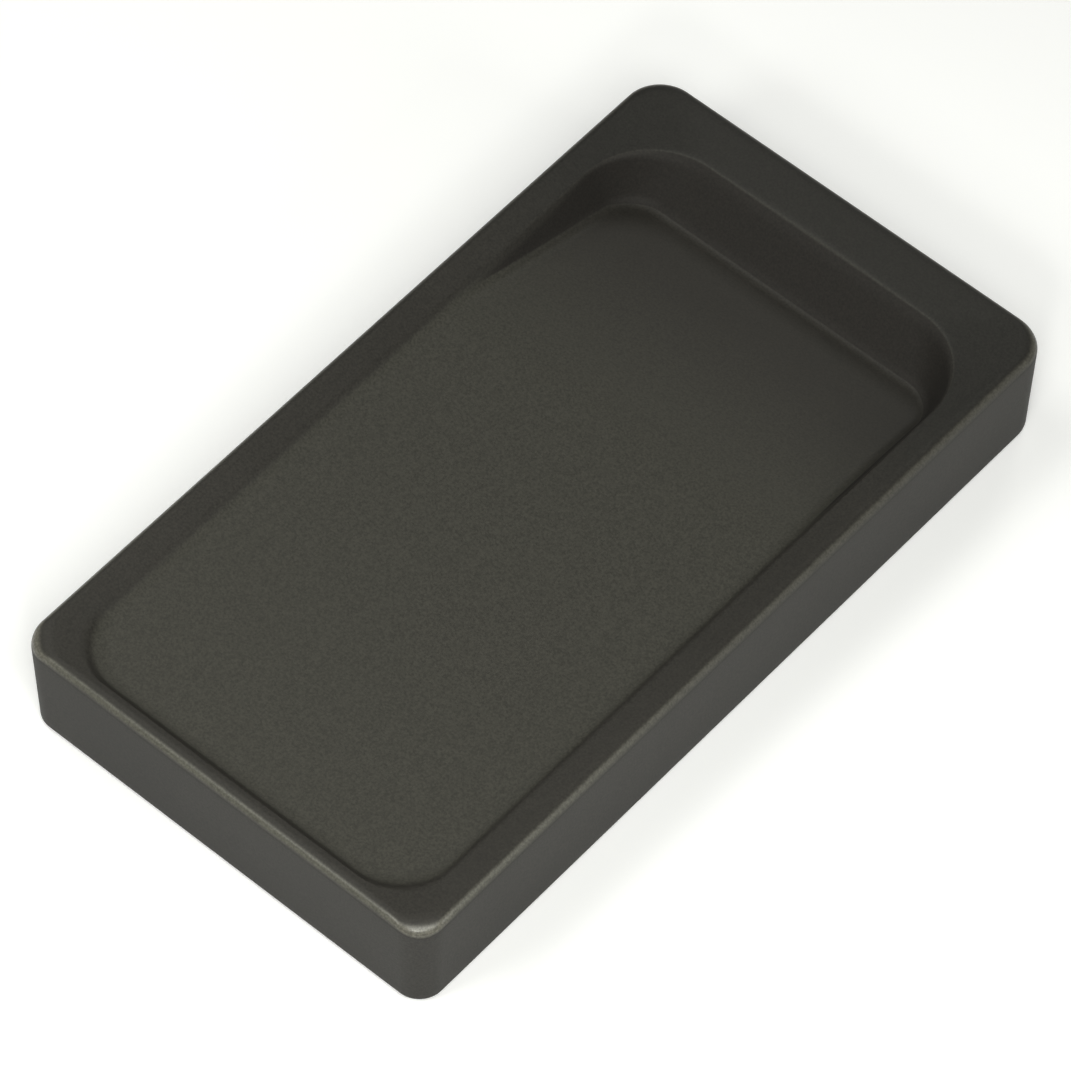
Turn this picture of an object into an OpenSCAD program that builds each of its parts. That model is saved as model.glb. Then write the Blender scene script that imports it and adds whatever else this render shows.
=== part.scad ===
// Ink stone for ink-stick calligraphy: one shallow rectangular slab with a level land to grind on,
// which falls to an ink well at the far end, and four soft pads let into its underside.
// Millimetres. The pads rest on z = 0, +Y points to the well, and x = 0 is the middle of the width.

/* [Slab] */
// Width of the slab at its widest, just under the rim
stone_w = 75; // [60:0.5:110]
// Length of the slab at its longest, just under the rim
stone_l = 136; // [120:0.5:200]
// Height of the slab without its pads
stone_h = 18.5; // [14:0.5:30]
// Plan radius of the two outer corners at the near end
corner_near = 4.6; // [4:0.1:8]
// Plan radius of the two outer corners at the well end
corner_far = 5.9; // [4:0.1:8]
// Inward lean of the outer walls towards the base, in degrees
wall_lean = 1.8; // [0.5:0.1:4]
// Radius that rounds the outer edge of the rim
rim_round = 1.6; // [0.8:0.1:1.9]
// Radius that rounds the lower edge of the walls
base_round = 0.6; // [0.3:0.1:1.5]

/* [Rim] */
// Plan radius of the rim's outer corners at the near end, where its rounded edge ends
rim_corner_near = 5.2; // [3:0.1:8]
// Plan radius of the rim's outer corners at the well end
rim_corner_far = 6.5; // [4:0.1:9]
// Slope of the rim down towards the basin, in degrees
rim_lean = 10; // [2:0.5:14]
// Outer edge to brink, along the two long sides
brink_side = 5.1; // [4.5:0.1:5.8]
// Outer edge to brink, at the near end
brink_near = 2.5; // [2.4:0.1:3.4]
// Outer edge to brink, at the well end
brink_far = 9; // [7:0.1:11]
// Plan radius of the brink's corners at the near end
brink_corner_near = 9; // [7:0.5:11]
// Plan radius of the brink's corners at the well end
brink_corner_far = 13; // [9:0.5:15]
// Length over which the brink is rounded, each way
brink_blend = 0.7; // [0.2:0.1:1.2]

/* [Basin] */
// Depth of the level land below the rim
land_depth = 1.7; // [1.6:0.1:3.5]
// Depth of the ink well below the rim, at the foot of the far wall
well_depth = 8.7; // [6:0.1:10.5]
// Outer edge to the foot of the side walls, beside the land
foot_side = 6.5; // [6:0.1:9]
// Outer edge to the foot of the near wall
foot_near = 3.8; // [3.6:0.1:6]
// Outer edge to the foot of the far wall
foot_far = 15; // [13:0.1:20]
// Slope of the side walls where the floor deepens, in degrees from level
side_wall_slope = 75; // [62:1:82]
// Outer edge at the well end to the line where the land starts to fall
fall_from = 50; // [40:0.5:70]
// Length over which the land turns into the fall
fall_blend = 10; // [2:0.5:14]
// Plan radius of the floor's corners at the near end
floor_corner_near = 9.5; // [7:0.5:11]
// Plan radius of the floor's corners in the well
floor_corner_far = 5; // [3:0.1:8]
// Length over which the foot of the basin's walls is rounded, each way
foot_blend = 1; // [0.3:0.1:1.8]

/* [Pads] */
// Diameter of a pad
pad_d = 9; // [6:0.5:14]
// Thickness of a pad
pad_h = 1.5; // [1:0.1:2.5]
// Height by which a pad stands out of its seat
pad_stand = 0.5; // [0.3:0.1:0.8]
// Radius on the lower edge of a pad
pad_round = 0.2; // [0.1:0.05:0.25]
// Clearance round a pad in its seat
pad_gap = 0.15; // [0.1:0.05:0.4]
// Long side of the slab to a pad's centre
pad_from_side = 12; // [10:0.5:16]
// End of the slab to a pad's centre
pad_from_end = 14; // [10:0.5:30]

/* [Hidden] */

corner_steps = 10;    // steps round each plan corner
side_steps = 18;      // steps along each long side
arc_steps = 8;        // steps round the rim's edge
base_steps = 3;       // steps round the lower edge
blend_steps = 6;      // steps through the brink and the foot
round_fn = 64;

half_w = stone_w / 2;
half_l = stone_l / 2;
base_z = pad_stand;
top_z = pad_stand + stone_h;
seat_depth = pad_h - pad_stand;

// Outer profile: each entry is a distance in from the widest outline and a height.
wall_top_z = top_z - rim_round * (1 + sin(wall_lean));
wall_base_z = base_z + base_round * (1 - sin(wall_lean));
wall_base_in = (wall_top_z - wall_base_z) * tan(wall_lean);
base_profile = [for (i = [0:base_steps])
    let (a = -90 + (90 - wall_lean) * i / base_steps)
    [wall_base_in + base_round * (cos(wall_lean) - cos(a)), base_z + base_round * (1 + sin(a))]];
rim_profile = [for (i = [0:arc_steps])
    let (a = -wall_lean + (90 + wall_lean + rim_lean) * i / arc_steps)
    [rim_round * (1 - cos(a)), top_z - rim_round * (1 - sin(a))]];

// The rim's slope starts where the rounded edge ends.
slope_in = rim_round * (1 + sin(rim_lean));
slope_z = top_z - rim_round * (1 - cos(rim_lean));
function slope_height(inset) = slope_z - (inset - slope_in) * tan(rim_lean);

// The floor: level over the land, then a straight fall to the foot of the far wall.
fall_y = half_l - fall_from;
foot_y = half_l - foot_far;
fall_half = fall_blend / 2;
function past_fall(y) =
    y <= fall_y - fall_half ? 0 :
    y < fall_y + fall_half ? pow(y - fall_y + fall_half, 2) / (4 * fall_half) :
    y - fall_y;
function floor_depth(y) = land_depth + (well_depth - land_depth) * past_fall(y) / (foot_y - fall_y);
function floor_z(y) = top_z - floor_depth(y);

// The side walls keep their slope as the floor deepens, so the floor narrows towards the well.
function foot_side_at(y) = foot_side + (floor_depth(y) - land_depth) / tan(side_wall_slope);

// Stations run up the right half of an outline, from the near end's middle to the far end's.
// Each one is an end of the slab, -1 near or 1 far, an angle round its corner, 0 on the side and
// 90 on the end, and a share of the way along the side.
STATIONS = concat(
    [for (i = [0:corner_steps]) [-1, 90 - 90 * i / corner_steps, 0]],
    [for (i = [1:side_steps - 1]) [0, 0, i / side_steps]],
    [for (i = [0:corner_steps]) [1, 90 * i / corner_steps, 1]]);

// A station's place on an outline that has its own distance in from each edge and its own corner radii
function station_y(s, near, far, r_near, r_far) =
    s[0] == -1 ? -half_l + near + r_near * (1 - sin(s[1])) :
    s[0] == 1 ? half_l - far - r_far * (1 - sin(s[1])) :
    let (y0 = -half_l + near + r_near, y1 = half_l - far - r_far) y0 + (y1 - y0) * s[2];
function station_x(s, side, r_near, r_far) =
    half_w - side - (s[0] == -1 ? r_near : r_far) * (1 - cos(s[1]));

// Curves of the right half, in space. A level curve is moved in by the same distance all round.
function level_curve(inset, z, near, far) =
    [for (s = STATIONS) [station_x(s, inset, near, far), station_y(s, inset, inset, near, far), z]];
function wall_curve(inset, z) = level_curve(inset, z, corner_near - inset, corner_far - inset);

// The rounded edge is broader at the corners: its plan radius grows from the wall's to the rim's.
function rim_curve(inset, z) =
    let (share = inset / slope_in)
    level_curve(inset, z,
        corner_near + (rim_corner_near - corner_near) * share,
        corner_far + (rim_corner_far - corner_far) * share);

brink_curve = [for (s = STATIONS)
    let (end_in = s[0] == -1 ? brink_near : brink_far,
         inset = brink_side * pow(cos(s[1]), 2) + end_in * pow(sin(s[1]), 2))
    [station_x(s, brink_side, brink_corner_near, brink_corner_far),
     station_y(s, brink_near, brink_far, brink_corner_near, brink_corner_far),
     slope_height(inset)]];

// Floor outline, moved in from the foot of the walls by a small step
function floor_curve(step) = [for (s = STATIONS)
    let (r_near = floor_corner_near - step, r_far = floor_corner_far - step,
         y = station_y(s, foot_near + step, foot_far + step, r_near, r_far))
    [station_x(s, foot_side_at(y) + step, r_near, r_far), y, floor_z(y)]];

slope_curve = rim_curve(slope_in, slope_z);
foot_curve = floor_curve(0);
land_curve = floor_curve(foot_blend);

function towards(p, q, length) = p + (q - p) * min(length / norm(q - p), 0.48);
function bend(p, q, r, t) = (1 - t) * (1 - t) * p + 2 * t * (1 - t) * q + t * t * r;

// Each ring of the basin follows the same stations, so walls and blends run true round the corners.
brink_rings = [for (i = [0:blend_steps]) [for (k = [0:len(STATIONS) - 1])
    let (q = brink_curve[k])
    bend(towards(q, slope_curve[k], brink_blend), q, towards(q, foot_curve[k], brink_blend), i / blend_steps)]];
foot_rings = [for (i = [0:blend_steps]) [for (k = [0:len(STATIONS) - 1])
    let (q = foot_curve[k])
    bend(towards(q, brink_curve[k], foot_blend), q, land_curve[k], i / blend_steps)]];

function mirrored(half) = [for (i = [len(half) - 1:-1:0]) [-half[i][0], half[i][1], half[i][2]]];
function whole(half) = concat(half, mirrored(half));

STONE_RINGS = [for (half = concat(
    [for (p = base_profile) wall_curve(p[0], p[1])],
    [for (p = rim_profile) rim_curve(p[0], p[1])],
    brink_rings,
    foot_rings)) whole(half)];

// Skin over a stack of rings, closed below by the first ring and above by strips across the last
module loft(rings) {
    n = len(rings[0]);
    last = (len(rings) - 1) * n;
    skin = [for (i = [0:len(rings) - 2]) for (k = [0:n - 1])
        let (a = i * n + k, b = i * n + (k + 1) % n)
        each [[a, a + n, b + n], [a, b + n, b]]];
    floor_strips = [for (k = [0:n / 2 - 2])
        let (a = last + k, b = last + k + 1, c = last + n - 2 - k, d = last + n - 1 - k)
        each [[c, b, a], [d, c, a]]];
    under = [[for (k = [0:n - 1]) k]];
    polyhedron(points = [for (ring = rings) each ring], faces = concat(under, skin, floor_strips), convexity = 6);
}

module at_pad(side, end) {
    translate([side * (half_w - pad_from_side), end * (half_l - pad_from_end), 0]) children();
}

module stone() {
    color([0.26, 0.26, 0.24])
    difference() {
        loft(STONE_RINGS);
        for (side = [-1, 1]) for (end = [-1, 1])
            at_pad(side, end)
            translate([0, 0, base_z - seat_depth])
            cylinder(d = pad_d + 2 * pad_gap, h = 2 * seat_depth, $fn = round_fn);
    }
}

// A flat disc with a rounded lower edge, glued to the top of its seat
module pad(side, end) {
    color([0.12, 0.12, 0.12])
    at_pad(side, end)
    rotate_extrude($fn = round_fn)
    difference() {
        square([pad_d / 2, pad_h]);
        translate([pad_d / 2 - pad_round, 0])
        difference() {
            square(pad_round);
            translate([0, pad_round]) circle(r = pad_round, $fn = round_fn);
        }
    }
}

stone();
pad(-1, -1);  // pad_near_left
pad(1, -1);  // pad_near_right
pad(-1, 1);  // pad_far_left
pad(1, 1);  // pad_far_right
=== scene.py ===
"""Looks of the ink stone: a satin slab of dark stone on four rubber pads, seen over a near corner.

The slab is drawn again as a finer surface over its CAD node. Its sizes are the node's, but for three
that serve the eye: the rim's edge is more worn at the two near corners, and the brink at the well end
and the foot of the basin's walls are softer. Everything is in metres in the part's frame: +Y points to
the ink well, +Z up, and x = 0 is the middle of the width.
"""

import math

import bmesh
import bpy
import numpy as np
from mathutils import Matrix, Vector


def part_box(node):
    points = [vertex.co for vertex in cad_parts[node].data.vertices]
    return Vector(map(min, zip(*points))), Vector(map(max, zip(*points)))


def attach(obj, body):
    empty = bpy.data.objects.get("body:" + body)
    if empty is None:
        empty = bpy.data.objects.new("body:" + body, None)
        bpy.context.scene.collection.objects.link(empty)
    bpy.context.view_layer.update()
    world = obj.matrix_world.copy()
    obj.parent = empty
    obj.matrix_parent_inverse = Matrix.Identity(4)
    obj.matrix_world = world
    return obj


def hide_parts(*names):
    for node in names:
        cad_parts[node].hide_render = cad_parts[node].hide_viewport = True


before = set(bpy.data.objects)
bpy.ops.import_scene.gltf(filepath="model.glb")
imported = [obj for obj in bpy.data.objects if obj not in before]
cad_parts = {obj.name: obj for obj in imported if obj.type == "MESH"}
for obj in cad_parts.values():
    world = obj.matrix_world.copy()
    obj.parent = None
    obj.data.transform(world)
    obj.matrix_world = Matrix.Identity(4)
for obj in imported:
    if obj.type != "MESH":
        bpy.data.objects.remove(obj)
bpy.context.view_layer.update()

MM = 0.001

# Slab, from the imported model
(LEFT, NEAR, BASE), (RIGHT, FAR, TOP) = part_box("stone")
HALF_W = (RIGHT - LEFT) / 2
HALF_L = (FAR - NEAR) / 2
PADS = [name for name in sorted(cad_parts) if name.startswith("pad_")]

# Outer walls and rim
CORNER_NEAR = 4.6 * MM
CORNER_FAR = 5.9 * MM
WALL_LEAN = math.radians(1.8)
RIM_ROUND = 1.6 * MM
BASE_ROUND = 0.6 * MM
RIM_LEAN = math.radians(10)
RIM_CORNER_NEAR = 5.2 * MM
RIM_CORNER_FAR = 6.5 * MM
WORN_ROUND = 2.0 * MM  # radius of the rim's edge in the middle of the two near corners
BRINK_SIDE = 5.1 * MM
BRINK_NEAR = 2.5 * MM
BRINK_FAR = 9.0 * MM
BRINK_CORNER_NEAR = 9.0 * MM
BRINK_CORNER_FAR = 13.0 * MM
BRINK_BLEND = 0.7 * MM
BRINK_BLEND_FAR = 1.8 * MM  # at the well end, where the node has BRINK_BLEND

# Basin
LAND_DEPTH = 1.7 * MM
WELL_DEPTH = 8.7 * MM
FOOT_SIDE = 6.5 * MM
FOOT_NEAR = 3.8 * MM
FOOT_FAR = 15.0 * MM
SIDE_WALL_SLOPE = math.radians(75)
FALL_FROM = 50.0 * MM
FALL_BLEND = 10.0 * MM
FLOOR_CORNER_NEAR = 9.5 * MM
FLOOR_CORNER_FAR = 5.0 * MM
FOOT_BLEND = 1.6 * MM  # the node has 1.0 mm

# Seats of the pads
PAD_GAP = 0.15 * MM
SEAT_STEPS = 96

# Steps round the slab
CORNER_STEPS = 20
SIDE_STEPS = 72
END_STEPS = 24

# Steps from the middle of the underside, up the walls and down into the basin
UNDERSIDE_STEPS = 16
BASE_EDGE_STEPS = 6
WALL_STEPS = 10
RIM_EDGE_STEPS = 20
RIM_SLOPE_STEPS = 8
BRINK_STEPS = 10
BASIN_WALL_STEPS = 6
FOOT_STEPS = 12
FLOOR_STEPS = 44

# Areas of the slab's finish. Each limit names a measure of the surface, its value where the area has
# faded out and its value where the area is full.

# The land, where ink is ground: it faces up, lies below the rim, and fades down into the well.
LAND = [
    ("height", TOP - 0.8 * MM, TOP - 1.4 * MM),
    ("height", TOP - 7.5 * MM, TOP - 2.0 * MM),
    ("upward", 0.50, 0.80),
]
# The rounded outer edge of the rim, rubbed lighter and carrying a painted highlight, and the corners in
# plan
RIM_EDGE_WEAR_AND_HIGHLIGHT = [("upward", 0.15, 0.62), ("upward", 0.95, 0.78), ("outward", 16 * MM, 24 * MM)]
# The corners: the edge there is lighter still, partly handling wear and partly a painted glint
CORNER_WEAR_AND_GLINT = [("across", HALF_W - 9 * MM, HALF_W - 2 * MM), ("along", HALF_L - 9 * MM, HALF_L - 2 * MM)]
# The rim round the well, darker towards the well end as painted shade
WELL_RIM_SHADE = [
    ("y", HALF_L - 50 * MM, HALF_L - 14 * MM),
    ("height", TOP - 2.0 * MM, TOP - 1.4 * MM),
    ("upward", 0.90, 0.97),
]
# The walls of the well, darker as painted shade down in the basin
WELL_WALL_SHADE = [
    ("sunk_height", TOP - 1.3 * MM, TOP - 2.6 * MM),
    ("upward", 0.98, 0.92),
    ("outward", -4 * MM, -12 * MM),
]
# The slab's outer walls, which are left as sawn
OUTER_WALLS = [("upward", 0.30, 0.10), ("outward", 16 * MM, 24 * MM)]


def floor_depth(y):
    """Depth below the rim: level, a parabola over FALL_BLEND, then a straight fall to the far foot."""
    start = HALF_L - FALL_FROM
    half = FALL_BLEND / 2
    parabola = np.clip(y - start + half, 0, None) ** 2 / (4 * half)
    past = np.where(y < start + half, parabola, y - start)
    return LAND_DEPTH + (WELL_DEPTH - LAND_DEPTH) * past / (FALL_FROM - FOOT_FAR)


def foot_side_at(y):
    """Distance in to the foot of a side wall: the wall keeps its slope as the floor deepens."""
    return FOOT_SIDE + (floor_depth(y) - LAND_DEPTH) / math.tan(SIDE_WALL_SLOPE)


def stations():
    """Right half of an outline, near middle to far middle, as four arrays.

    Each station has an end (-1 near, 0 side, 1 far), an angle round its corner (0 on the side, 90
    degrees on the end), a share of the way along the side, and a share of the way out along the end.
    """
    turn = np.linspace(0, math.pi / 2, CORNER_STEPS + 1)
    along = np.linspace(0, 1, SIDE_STEPS + 1)[1:-1]
    across = np.linspace(0, 1, END_STEPS + 1)[:-1]
    straight_end = np.full(END_STEPS, math.pi / 2)
    near_end = -np.ones(END_STEPS + CORNER_STEPS + 1)
    end = np.concatenate([near_end, 0 * along, -near_end])
    angle = np.concatenate([straight_end, turn[::-1], 0 * along, turn, straight_end])
    side_share = np.concatenate([0 * across, 0 * turn, along, 0 * turn + 1, 0 * across + 1])
    end_share = np.concatenate([across, 0 * turn + 1, 0 * along + 1, 0 * turn + 1, across[::-1]])
    return end, angle, side_share, end_share


END, ANGLE, SIDE_SHARE, END_SHARE = stations()


def curve(near, side, far, r_near, r_far, height):
    """Right half of a rounded rectangle in space, with its own distance in from each edge.

    side may be a function of y, and so may height. A corner point is its corner's centre plus the
    radius turned through the station's angle; a point on a straight is a share of its way.
    """
    low, high = -HALF_L + near + r_near, HALF_L - far - r_far
    y = np.select(
        [END < 0, END > 0],
        [low - r_near * np.sin(ANGLE), high + r_far * np.sin(ANGLE)],
        low + (high - low) * SIDE_SHARE,
    )
    inset = side(y) if callable(side) else side
    radius = np.where(END < 0, r_near, r_far)
    x = (HALF_W - inset - radius * (1 - np.cos(ANGLE))) * END_SHARE
    z = height(y) if callable(height) else height + 0 * y
    return np.stack([x, y, z], axis=1)


def wall_curve(inset, height):
    """Outline of the walls, moved in from the widest one by the same distance all round."""
    return curve(inset, inset, inset, CORNER_NEAR - inset, CORNER_FAR - inset, height)


def rim_curve(a):
    """Outline of the rim's rounded edge at an angle a round it.

    The angle runs from -WALL_LEAN on the wall to 90 degrees plus RIM_LEAN on the rim's slope. The edge
    is an arc whose radius grows from RIM_ROUND to WORN_ROUND in the middle of the two near corners,
    where handling wears it most. The arc sinks as it grows, so that it still meets the wall and the
    rim's slope smoothly, and its corner radius in plan grows from the wall's to the rim's own.
    """
    radius = np.where(END < 0, RIM_ROUND + (WORN_ROUND - RIM_ROUND) * np.sin(2 * ANGLE) ** 2, RIM_ROUND)
    growth = radius - RIM_ROUND
    sink = growth * ((1 + math.sin(RIM_LEAN)) * math.tan(RIM_LEAN) - (1 - math.cos(RIM_LEAN)))
    step_in = growth * (1 + math.sin(WALL_LEAN)) * math.tan(WALL_LEAN)
    share = (1 - math.cos(a)) / (1 + math.sin(RIM_LEAN))
    near = CORNER_NEAR + (RIM_CORNER_NEAR - CORNER_NEAR) * share
    far = CORNER_FAR + (RIM_CORNER_FAR - CORNER_FAR) * share
    inset = step_in + radius * (1 - math.cos(a))
    return curve(inset, inset, inset, near, far, lambda y: TOP - sink - radius * (1 - math.sin(a)))


def bend(p, q, r, steps):
    """Rings of a quadratic Bezier from p to r whose tangents meet at q."""
    t = np.linspace(0, 1, steps + 1)[:, None, None]
    return (1 - t) ** 2 * p + 2 * t * (1 - t) * q + t**2 * r


def towards(p, q, length):
    """Point at a length from p towards q, kept to the near half of the way."""
    way = q - p
    reach = np.linalg.norm(way, axis=1, keepdims=True)
    return p + way * np.minimum(length / reach, 0.48)


def between(p, q, steps):
    """Rings strictly between two curves, in even steps."""
    t = np.linspace(0, 1, steps + 1)[1:-1, None, None]
    return (1 - t) * p + t * q


def to_spine(p, steps, height):
    """Rings that shrink from a curve to a line down its middle, at the height of the surface there."""
    reach = np.abs(p[:, 0]).max()
    spine = np.zeros_like(p)
    spine[:, 1] = np.clip(p[:, 1], p[:, 1].min() + reach, p[:, 1].max() - reach)
    rings = np.concatenate([between(p, spine, steps), spine[None]])
    rings[..., 2] = height(rings[..., 1])
    return rings


def slab_rings():
    """Rings of the right half, from the middle of the underside, up the walls, down into the basin."""
    wall_top = TOP - RIM_ROUND * (1 + math.sin(WALL_LEAN))
    wall_base = BASE + BASE_ROUND * (1 - math.sin(WALL_LEAN))
    arc_in = (wall_top - wall_base) * math.tan(WALL_LEAN) + BASE_ROUND * math.cos(WALL_LEAN)
    base_edge = [
        wall_curve(arc_in - BASE_ROUND * math.cos(a), BASE + BASE_ROUND * (1 + math.sin(a)))
        for a in np.linspace(-math.pi / 2, -WALL_LEAN, BASE_EDGE_STEPS + 1)
    ]
    rim_angles = np.linspace(-WALL_LEAN, math.pi / 2 + RIM_LEAN, RIM_EDGE_STEPS + 1)
    rim_edge = [rim_curve(a) for a in rim_angles]
    slope_in = RIM_ROUND * (1 + math.sin(RIM_LEAN))
    slope_top = TOP - RIM_ROUND * (1 - math.cos(RIM_LEAN))

    end_in = np.where(END < 0, BRINK_NEAR, BRINK_FAR)
    brink_in = BRINK_SIDE * np.cos(ANGLE) ** 2 + end_in * np.sin(ANGLE) ** 2
    brink_z = slope_top - (brink_in - slope_in) * math.tan(RIM_LEAN)
    brink = curve(
        BRINK_NEAR, BRINK_SIDE, BRINK_FAR, BRINK_CORNER_NEAR, BRINK_CORNER_FAR, lambda y: brink_z
    )

    def floor_z(y):
        return TOP - floor_depth(y)

    def floor_curve(step):
        return curve(
            FOOT_NEAR + step,
            lambda y: foot_side_at(y) + step,
            FOOT_FAR + step,
            FLOOR_CORNER_NEAR - step,
            FLOOR_CORNER_FAR - step,
            floor_z,
        )

    foot = floor_curve(0)
    land = floor_curve(FOOT_BLEND)
    far_share = np.where(END > 0, np.sin(ANGLE) ** 2, 0)[:, None]
    brink_blend = BRINK_BLEND + (BRINK_BLEND_FAR - BRINK_BLEND) * far_share
    above_brink = towards(brink, rim_edge[-1], brink_blend)
    below_brink = towards(brink, foot, brink_blend)
    brink_rings = bend(above_brink, brink, below_brink, BRINK_STEPS)
    foot_rings = bend(towards(foot, brink, FOOT_BLEND), foot, land, FOOT_STEPS)
    underside = to_spine(base_edge[0], UNDERSIDE_STEPS, lambda y: BASE + 0 * y)
    return np.concatenate(
        [
            underside[::-1],
            base_edge,
            between(base_edge[-1], rim_edge[0], WALL_STEPS),
            rim_edge,
            between(rim_edge[-1], brink_rings[0], RIM_SLOPE_STEPS),
            brink_rings,
            between(brink_rings[-1], foot_rings[0], BASIN_WALL_STEPS),
            foot_rings,
            to_spine(land, FLOOR_STEPS, floor_z),
        ]
    )


def skin_piece(name, rings):
    """Closed surface over a stack of closed rings: neighbouring rings share a row of quads."""
    count, around = rings.shape[:2]
    i, k = np.meshgrid(np.arange(count - 1), np.arange(around), indexing="ij")
    this_ring = i * around
    next_ring = this_ring + around
    after = (k + 1) % around
    quads = np.stack([this_ring + k, this_ring + after, next_ring + after, next_ring + k], axis=-1)
    mesh = bpy.data.meshes.new(name)
    mesh.from_pydata(rings.reshape(-1, 3).tolist(), [], quads.reshape(-1, 4).tolist())
    weld(mesh)
    piece = bpy.data.objects.new(name, mesh)
    bpy.context.collection.objects.link(piece)
    return piece


def weld(mesh):
    """Merges doubled points, drops the faces that this closes up, and turns every face outwards."""
    edit = bmesh.new()
    edit.from_mesh(mesh)
    bmesh.ops.remove_doubles(edit, verts=edit.verts, dist=0.002 * MM)
    bmesh.ops.dissolve_degenerate(edit, edges=edit.edges, dist=0.001 * MM)
    bmesh.ops.recalc_face_normals(edit, faces=edit.faces)
    edit.to_mesh(mesh)
    edit.free()


def turned_rings(profile, steps):
    """Surface of revolution about an upright axis: a profile of (radius, height) points, turned."""
    radius, height = np.array(profile).T
    a = np.linspace(0, 2 * math.pi, steps, endpoint=False)
    x, y = np.outer(radius, np.cos(a)), np.outer(radius, np.sin(a))
    return np.stack([x, y, np.outer(height, np.ones(steps))], axis=-1)


def apply_modifiers(piece):
    """Makes the piece's modified mesh its own."""
    graph = bpy.context.evaluated_depsgraph_get()
    mesh = bpy.data.meshes.new_from_object(piece.evaluated_get(graph))
    piece.modifiers.clear()
    piece.data = mesh


def smooth(piece, sharp):
    """Smooth shading, but crisp on edges whose faces meet at more than the sharp angle."""
    piece.data.polygons.foreach_set("use_smooth", np.ones(len(piece.data.polygons), dtype=bool))
    piece.data.set_sharp_from_angle(angle=sharp)


def hex_colour(code):
    """Linear RGBA of an sRGB hex value."""
    levels = [int(code[i : i + 2], 16) / 255 for i in (1, 3, 5)]
    linear = [v / 12.92 if v <= 0.04045 else ((v + 0.055) / 1.055) ** 2.4 for v in levels]
    return (*linear, 1.0)


def add_node(material, kind, settings=None, inputs=None, links=None):
    """Adds a shader node with its settings, its input values and links from other nodes' outputs."""
    node = material.node_tree.nodes.new(kind)
    for key, value in (settings or {}).items():
        setattr(node, key, value)
    for key, value in (inputs or {}).items():
        node.inputs[key].default_value = value
    for key, source in (links or {}).items():
        material.node_tree.links.new(source, node.inputs[key])
    return node


def new_material(name):
    """Material with a Principled shader, returned with that shader and its texture coordinates."""
    material = bpy.data.materials.new(name)
    material.use_nodes = True
    shader = material.node_tree.nodes["Principled BSDF"]
    return material, shader, add_node(material, "ShaderNodeTexCoord")


def per_mm(size):
    """Noise scale at which one cell of the pattern is a given number of millimetres wide."""
    return 1 / (size * MM)


def two_tones(material, value, low, low_code, high, high_code):
    """Colour that runs from one sRGB tone to another as a value runs from low to high."""
    share = add_node(
        material,
        "ShaderNodeMapRange",
        inputs={"From Min": low, "From Max": high},
        links={"Value": value},
    )
    tones = add_node(
        material,
        "ShaderNodeMix",
        settings={"data_type": "RGBA"},
        inputs={6: hex_colour(low_code), 7: hex_colour(high_code)},
        links={0: share.outputs["Result"]},
    )
    return tones.outputs[2]


def surface_measures(material, coordinates):
    """What the areas of the finish go by, as outputs.

    y is the place along the slab and height the place above the table. across and along are the
    distances from x = 0 and from y = 0. upward is the upright part of the surface's direction.
    outward is its place times its direction: large on the outer walls, below 0 on the basin's.
    sunk_height is the height, less up to 1.1 mm towards the well end, so that the painted shade on the
    well's walls reaches up to the brink there.
    """
    place, direction = coordinates.outputs["Object"], coordinates.outputs["Normal"]
    split = add_node(material, "ShaderNodeSeparateXYZ", links={"Vector": place})
    facing = add_node(material, "ShaderNodeSeparateXYZ", links={"Vector": direction})
    distance = add_node(
        material, "ShaderNodeVectorMath", settings={"operation": "ABSOLUTE"}, links={0: place}
    )
    reach = add_node(material, "ShaderNodeSeparateXYZ", links={"Vector": distance.outputs["Vector"]})
    outward = add_node(
        material,
        "ShaderNodeVectorMath",
        settings={"operation": "DOT_PRODUCT"},
        links={0: place, 1: direction},
    )
    lowered = add_node(
        material,
        "ShaderNodeMapRange",
        settings={"interpolation_type": "SMOOTHSTEP"},
        inputs={"From Min": HALF_L - 34 * MM, "From Max": HALF_L - 20 * MM, "To Max": 1.1 * MM},
        links={"Value": split.outputs["Y"]},
    )
    sunk_height = add_node(
        material,
        "ShaderNodeMath",
        settings={"operation": "SUBTRACT"},
        links={0: split.outputs["Z"], 1: lowered.outputs["Result"]},
    )
    return {
        "y": split.outputs["Y"],
        "height": split.outputs["Z"],
        "across": reach.outputs["X"],
        "along": reach.outputs["Y"],
        "upward": facing.outputs["Z"],
        "outward": outward.outputs["Value"],
        "sunk_height": sunk_height.outputs["Value"],
    }


def area_mask(material, measures, limits, within=None):
    """1 in an area and 0 outside it: the product of an eased step for each limit and a wider mask."""
    total = within
    for name, out_at, full_at in limits:
        falling = out_at > full_at
        step = add_node(
            material,
            "ShaderNodeMapRange",
            settings={"interpolation_type": "SMOOTHSTEP"},
            inputs={
                "From Min": min(out_at, full_at),
                "From Max": max(out_at, full_at),
                "To Min": 1.0 if falling else 0.0,
                "To Max": 0.0 if falling else 1.0,
            },
            links={"Value": measures[name]},
        ).outputs["Result"]
        if total is None:
            total = step
        else:
            total = add_node(
                material,
                "ShaderNodeMath",
                settings={"operation": "MULTIPLY"},
                links={0: total, 1: step},
            ).outputs["Value"]
    return total


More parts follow.
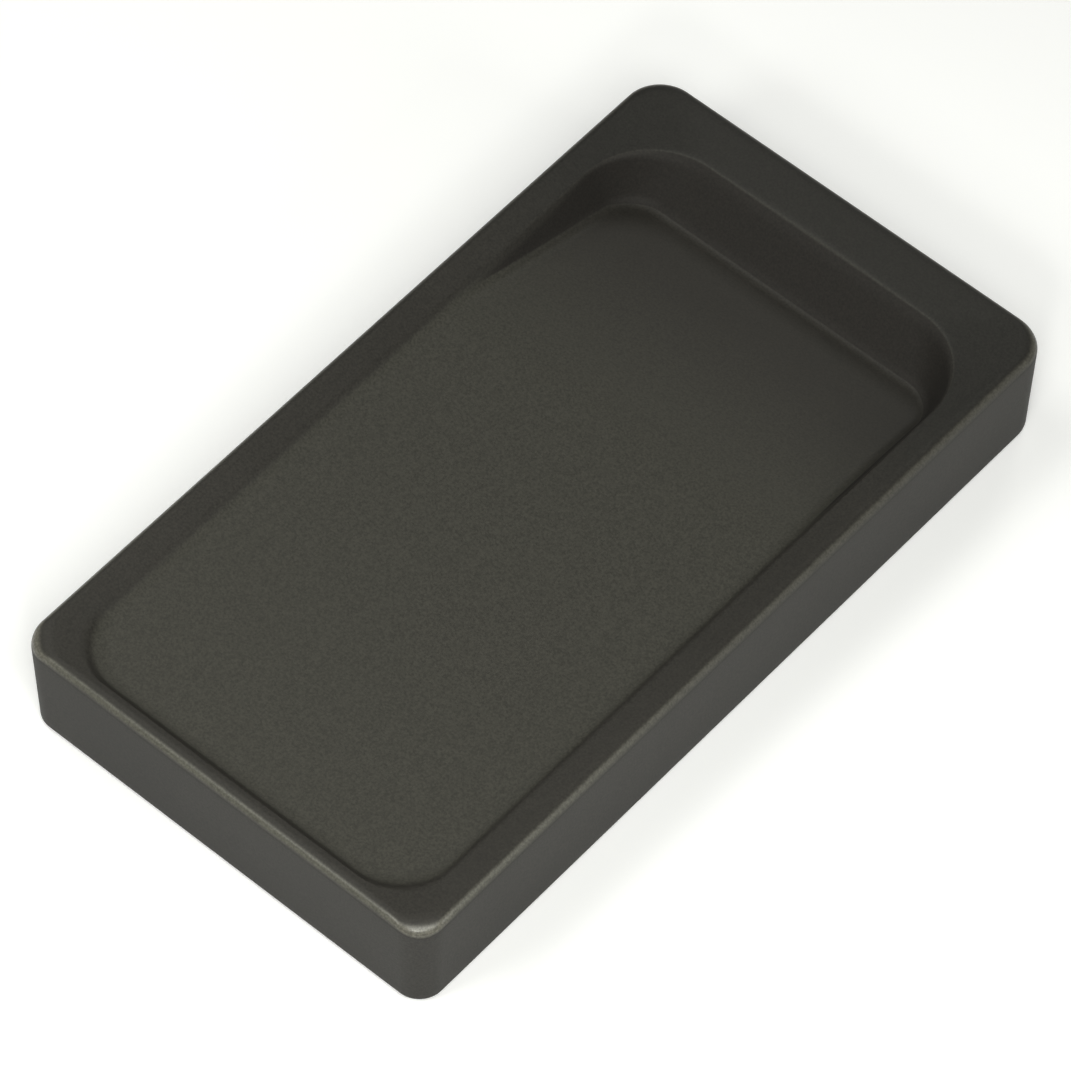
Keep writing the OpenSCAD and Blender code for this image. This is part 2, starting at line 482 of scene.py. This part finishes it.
def rubbed_slate():
    """Fine-grained dark stone, ground smooth, hand-oiled, its outer edges rubbed lighter and painted
    with highlights, with painted shade in and round the well.
    """
    # Slate sawn, ground and then oiled by hand: a warm near-black body colour, a satin skin that turns
    # grey where it catches the light, and a fine even speckle that keeps it from looking like plastic.
    # The grain and the broad clouds of tone are drawn at their real size.
    material, shader, coordinates = new_material("slate_ground_and_oiled")
    place = coordinates.outputs["Object"]
    cloud = add_node(
        material,
        "ShaderNodeTexNoise",
        inputs={"Scale": per_mm(28), "Detail": 3.0, "Roughness": 0.5},
        links={"Vector": place},
    )
    grain = add_node(
        material,
        "ShaderNodeTexNoise",
        inputs={"Scale": per_mm(0.35), "Detail": 2.0, "Roughness": 0.6},
        links={"Vector": place},
    )

    measures = surface_measures(material, coordinates)
    # The lighter edge, partly wear and partly painted highlight, is full at the near end, less towards
    # the middle and half as strong from there on, a painted fall-off of the light towards the far end.
    wear_and_highlight_fade = add_node(
        material,
        "ShaderNodeMapRange",
        inputs={"From Min": -HALF_L, "From Max": 0.0, "To Min": 1.0, "To Max": 0.5},
        links={"Value": measures["y"]},
    )
    ground = area_mask(material, measures, LAND)
    # Rim edge: rubbed lighter, partly real wear and partly a painted highlight
    rubbed_and_highlight = area_mask(material, measures, RIM_EDGE_WEAR_AND_HIGHLIGHT, within=wear_and_highlight_fade.outputs["Result"])
    # Corners of the edge: partly handling wear and partly a painted glint
    handled_and_glint = area_mask(material, measures, CORNER_WEAR_AND_GLINT, within=rubbed_and_highlight)
    # Rim round the well: painted shade, darker towards the well end
    painted_rim_shade = area_mask(material, measures, WELL_RIM_SHADE)
    # Walls of the well: painted shade, darker down in the basin
    painted_wall_shade = area_mask(material, measures, WELL_WALL_SHADE)
    outer_walls = area_mask(material, measures, OUTER_WALLS)

    # Ground land, edge rubbed lighter with a painted highlight, corners with a painted glint, and
    # painted shade on the rim round the well and on the well's walls
    colour = two_tones(material, cloud.outputs["Fac"], 0.35, "#2e2c28", 0.65, "#33312d")
    tones = [
        (ground, "#3e3d37"),
        # edge: wear and painted highlight
        (rubbed_and_highlight, "#605f57"),
        # corners: wear and painted glint
        (handled_and_glint, "#727068"),
        # painted shade on the rim round the well
        (painted_rim_shade, "#292825"),
        # painted shade on the well's walls
        (painted_wall_shade, "#23201d"),
    ]
    for area, code in tones:
        mixed = add_node(
            material,
            "ShaderNodeMix",
            settings={"data_type": "RGBA"},
            inputs={7: hex_colour(code)},
            links={0: area, 6: colour},
        )
        colour = mixed.outputs[2]
    speckle = two_tones(material, grain.outputs["Fac"], 0.32, "#c4c4c4", 0.68, "#ffffff")
    speckled = add_node(
        material,
        "ShaderNodeMix",
        settings={"data_type": "RGBA", "blend_type": "MULTIPLY"},
        inputs={0: 1.0},
        links={6: colour, 7: speckle},
    )

    # Satin where it is ground, glossier where it is rubbed, rough on the well's walls under their
    # painted shade and where the outer walls are left as sawn
    gloss = add_node(
        material,
        "ShaderNodeMapRange",
        inputs={"From Min": 0.3, "From Max": 0.7, "To Min": 0.50, "To Max": 0.60},
        links={"Value": grain.outputs["Fac"]},
    )
    for area, roughness in [(rubbed_and_highlight, 0.37), (handled_and_glint, 0.25), (painted_wall_shade, 0.75), (outer_walls, 0.68)]:
        gloss = add_node(
            material,
            "ShaderNodeMapRange",
            inputs={"To Max": roughness},
            links={"Value": area, "To Min": gloss.outputs["Result"]},
        )
    bump = add_node(
        material,
        "ShaderNodeBump",
        inputs={"Strength": 0.4, "Distance": 0.02 * MM},
        links={"Height": grain.outputs["Fac"]},
    )
    links = material.node_tree.links
    links.new(speckled.outputs[2], shader.inputs["Base Color"])
    links.new(gloss.outputs["Result"], shader.inputs["Roughness"])
    links.new(bump.outputs["Normal"], shader.inputs["Normal"])
    shader.inputs["IOR"].default_value = 1.43
    return material


def moulded_rubber():
    """Black moulded rubber: matt, with the faint unevenness of a soft moulding."""
    # Soft rubber pressed in a plain steel mould: near black and matt, so the pads read as one dark
    # shadow line under the stone, with a little dusty mottling that bare cut rubber wouldn't have.
    material, shader, coordinates = new_material("rubber_moulded_soft")
    dust = add_node(
        material,
        "ShaderNodeTexNoise",
        inputs={"Scale": per_mm(0.8), "Detail": 3.0},
        links={"Vector": coordinates.outputs["Object"]},
    )
    bump = add_node(
        material,
        "ShaderNodeBump",
        inputs={"Strength": 0.4, "Distance": 0.03 * MM},
        links={"Height": dust.outputs["Fac"]},
    )
    tone = two_tones(material, dust.outputs["Fac"], 0.3, "#19191a", 0.7, "#242424")
    material.node_tree.links.new(tone, shader.inputs["Base Color"])
    material.node_tree.links.new(bump.outputs["Normal"], shader.inputs["Normal"])
    shader.inputs["Roughness"].default_value = 0.8
    return material


def make_slab(finish):
    """The slab, with the four blind seats cut into its underside."""
    right_half = slab_rings()
    left_half = right_half[:, -2:0:-1] * (-1, 1, 1)
    slab = skin_piece("slab", np.concatenate([right_half, left_half], axis=1))
    cutters = []
    for name in PADS:
        low, high = (Vector(corner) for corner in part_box(name))
        radius = (high.x - low.x) / 2 + PAD_GAP
        depth = high.z - BASE
        profile = [(0, -depth), (radius, -depth), (radius, depth), (0, depth)]
        cutter = skin_piece("seat_cutter", turned_rings(profile, SEAT_STEPS))
        cutter.data.transform(Matrix.Translation(((low.x + high.x) / 2, (low.y + high.y) / 2, BASE)))
        cut = slab.modifiers.new("seat", "BOOLEAN")
        cut.operation = "DIFFERENCE"
        cut.object = cutter
        cutters.append(cutter)
    apply_modifiers(slab)
    for cutter in cutters:
        bpy.data.objects.remove(cutter)
    smooth(slab, math.radians(40))
    slab.data.materials.clear()
    slab.data.materials.append(finish)
    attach(slab, "root")
    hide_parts("stone")


def finish_pads(finish):
    """The pads keep their CAD shape and take the rubber finish."""
    for name in PADS:
        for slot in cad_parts[name].material_slots:
            slot.material = finish


def make_floor():
    """Pale table, a hair below the pads so that no two faces lie in one plane."""
    reach = 1.5
    level = -0.02 * MM
    corners = [(x * reach, y * reach, level) for x, y in [(-1, -1), (1, -1), (1, 1), (-1, 1)]]
    mesh = bpy.data.meshes.new("table")
    mesh.from_pydata(corners, [], [(0, 1, 2, 3)])
    table = bpy.data.objects.new("table", mesh)
    bpy.context.collection.objects.link(table)
    # Matt white paper: it spreads the lamps' light evenly and shows the slab's soft shadow. A faint
    # glow that only the camera, gloss and glass see brings the lit paper up to white.
    material, shader, _ = new_material("table_white_paper")
    shader.inputs["Base Color"].default_value = hex_colour("#f1f2f4")
    shader.inputs["Roughness"].default_value = 0.9
    shader.inputs["Emission Color"].default_value = hex_colour("#ffffff")
    glow_strength = 0.24
    ray = add_node(material, "ShaderNodeLightPath")
    seen = add_node(
        material,
        "ShaderNodeMath",
        settings={"operation": "MAXIMUM"},
        links={0: ray.outputs["Is Camera Ray"], 1: ray.outputs["Is Glossy Ray"]},
    )
    shown = add_node(
        material,
        "ShaderNodeMath",
        settings={"operation": "MAXIMUM"},
        links={0: seen.outputs["Value"], 1: ray.outputs["Is Transmission Ray"]},
    )
    glow = add_node(
        material,
        "ShaderNodeMath",
        settings={"operation": "MULTIPLY"},
        inputs={1: glow_strength},
        links={0: shown.outputs["Value"]},
    )
    material.node_tree.links.new(glow.outputs["Value"], shader.inputs["Emission Strength"])
    mesh.materials.append(material)


def area_lamp(name, place, aim, size, watts):
    """Square soft lamp at a place, facing a point, with the faint yellow of a studio tube.

    Size is the square's side in metres.
    """
    light = bpy.data.lights.new(name, "AREA")
    light.size = size
    light.energy = watts
    light.color = (1.0, 1.0, 0.93)
    lamp = bpy.data.objects.new(name, light)
    bpy.context.collection.objects.link(lamp)
    lamp.location = place
    lamp.rotation_euler = (Vector(aim) - Vector(place)).to_track_quat("-Z", "Y").to_euler()


def light_studio():
    """Soft lamps round and above the slab, over dim surroundings. The table makes the background."""
    world = bpy.data.worlds.new("dim_surroundings")
    bpy.context.scene.world = world
    world.use_nodes = True
    background = world.node_tree.nodes["Background"]
    background.inputs["Color"].default_value = hex_colour("#ffffff")
    background.inputs["Strength"].default_value = 0.03
    middle = (0, 0, 0.015)
    area_lamp("ceiling_front_right", (0.20, -0.20, 0.45), middle, 0.20, 1.20)
    area_lamp("ceiling_far_right", (0.40, -0.20, 0.45), middle, 0.20, 0.44)
    area_lamp("ceiling_left", (-0.20, 0.00, 0.45), middle, 0.20, 0.35)
    area_lamp("ceiling_back", (-0.20, 0.60, 0.45), middle, 0.20, 0.53)
    area_lamp("side_left", (-0.32, 0.00, 0.285), middle, 0.12, 0.20)
    area_lamp("side_right", (0.37, 0.08, 0.172), middle, 0.14, 0.33)
    area_lamp("corner_spark", (0.225, -0.28, 0.285), middle, 0.05, 0.30)
    area_lamp("front_strip", (-0.07, -0.29, 0.27), (0, -0.06, 0.015), 0.12, 0.42)


def place_camera():
    """Long lens above the near right corner, turned and tipped as the photograph was taken."""
    azimuth, elevation, roll = math.radians(40.285), math.radians(54.76), math.radians(1.037)
    distance = 1.0037
    aim = Vector((-2.91, 1.74, 2.27)) * MM
    level_part = math.cos(elevation)
    back = Vector(
        (math.sin(azimuth) * level_part, -math.cos(azimuth) * level_part, math.sin(elevation))
    )
    lens = bpy.data.cameras.new("camera")
    lens.lens = 236.37
    lens.sensor_width = 36
    lens.clip_start = 0.05
    lens.clip_end = 20
    camera = bpy.data.objects.new("camera", lens)
    bpy.context.collection.objects.link(camera)
    place = Matrix.Translation(aim + back * distance)
    level = back.to_track_quat("Z", "Y").to_matrix().to_4x4()
    camera.matrix_world = place @ level @ Matrix.Rotation(roll, 4, "Z")
    bpy.context.scene.camera = camera


make_slab(rubbed_slate())
finish_pads(moulded_rubber())
make_floor()
light_studio()
place_camera()
bpy.context.scene.view_settings.view_transform = "Standard"
